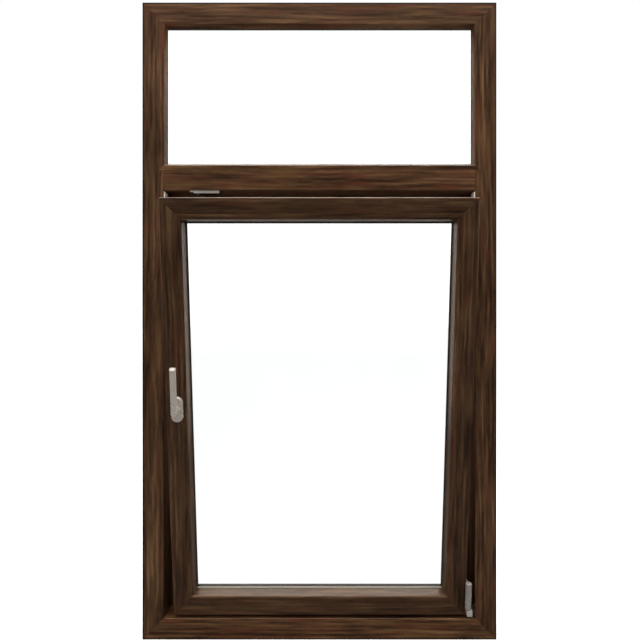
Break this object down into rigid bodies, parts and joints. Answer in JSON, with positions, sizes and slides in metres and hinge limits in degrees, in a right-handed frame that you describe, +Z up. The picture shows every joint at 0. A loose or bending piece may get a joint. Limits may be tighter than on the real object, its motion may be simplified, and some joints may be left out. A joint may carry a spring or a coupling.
{
  "type": "tilt and turn window with a fixed top light",
  "caption": "Wood-grain framed window with a fixed glazed top light over an inward tilted sash, with a lever handle, a corner hinge and a tilting stay.",
  "frame": {"origin": "middle of the frame's bottom outer face, on the wall opening's sill", "axes": "+X to the right seen from the room, +Y to the outside, +Z up"},
  "size_m": [1, 0.2376, 1.8],
  "materials": {
    "frame_foil": "dark walnut wood-grain foil, semi-gloss",
    "sash_foil": "dark walnut wood-grain foil, semi-gloss, a shade darker",
    "seal": "black rubber gasket",
    "glass": "clear float glass",
    "spacer": "grey sealed-unit spacer",
    "handle_metal": "satin silver-beige anodised metal",
    "steel": "bright zinc-plated steel"
  },
  "bodies": {
    "root": {"frame_left_jamb": "frame_foil", "frame_right_jamb": "frame_foil", "frame_head": "frame_foil", "frame_bottom_rail": "frame_foil", "transom": "frame_foil", "transom_brackets": "steel", "frame_seal": "seal", "sash_left_stile": "sash_foil", "sash_right_stile": "sash_foil", "sash_top_rail": "sash_foil", "sash_bottom_rail": "sash_foil", "side_faceplate": "steel", "top_faceplate": "steel", "bottom_faceplate": "steel", "handle_base": "handle_metal", "hinge_band": "handle_metal", "corner_bearing": "handle_metal", "hinge_pin": "steel", "stay_arm": "steel", "stay_link": "steel", "stay_rivets": "steel", "stay_bearing": "steel", "tilt_keeper": "steel", "side_keeper": "steel", "bottom_keeper": "steel", "side_cam": "steel", "bottom_cam": "steel", "top_light_bead_left": "frame_foil", "top_light_bead_right": "frame_foil", "top_light_bead_bottom": "frame_foil", "top_light_bead_top": "frame_foil", "top_light_gasket_inner": "seal", "top_light_gasket_outer": "seal", "top_light_glass_inner": "glass", "top_light_glass_outer": "glass", "top_light_glass_spacer": "spacer", "sash_bead_left": "sash_foil", "sash_bead_right": "sash_foil", "sash_bead_bottom": "sash_foil", "sash_bead_top": "sash_foil", "sash_gasket_inner": "seal", "sash_gasket_outer": "seal", "sash_glass_inner": "glass", "sash_glass_outer": "glass", "sash_glass_spacer": "spacer"},
    "lever": {"handle_lever": "handle_metal"}
  },
  "joints": [
    {"name": "handle_turn", "type": "hinge", "parent": "root", "child": "lever", "pos_m": [-0.381, -0.13263, 0.66281], "axis": [0, 0.992, 0.1262], "range_deg": [0, 180]}
  ]
}
